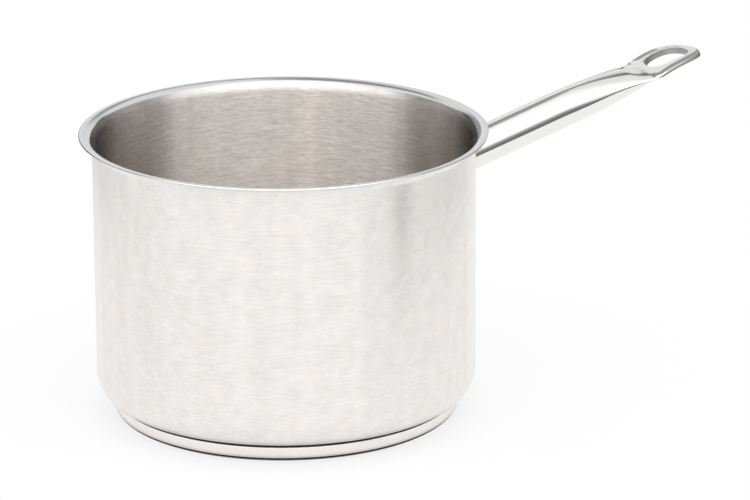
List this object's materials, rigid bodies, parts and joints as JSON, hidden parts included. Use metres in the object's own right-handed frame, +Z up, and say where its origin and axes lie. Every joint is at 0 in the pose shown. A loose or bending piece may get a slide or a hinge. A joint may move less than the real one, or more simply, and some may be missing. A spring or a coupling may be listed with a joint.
{
  "type": "saucepan",
  "caption": "Deep stainless steel saucepan with a flared pouring rim, a bonded sandwich base and a long hollow handle pressed flat round an oval hanging eye.",
  "frame": {"origin": "centre of the flat underside of the base, on the surface the pan stands on", "axes": "+Z up along the body's axis, out of the mouth; +X along the handle, away from the body"},
  "size_m": [0.3709, 0.216, 0.1613],
  "materials": {
    "brushed_body": "fine brushed outside and inside, polished rim",
    "polished_base": "satin polished side, turned underside",
    "spreader_aluminium": "plain, enclosed",
    "bracket_steel": "satin",
    "polished_handle": "mirror polished with faint long polishing lines",
    "weld_steel": "brushed weld"
  },
  "bodies": {
    "root": {"pot_shell": "brushed_body", "heat_spreader": "spreader_aluminium", "base_cap": "polished_base", "handle_bracket": "bracket_steel", "spot_welds": "weld_steel", "handle_tube": "polished_handle", "handle_weld": "weld_steel"}
  },
  "joints": []
}
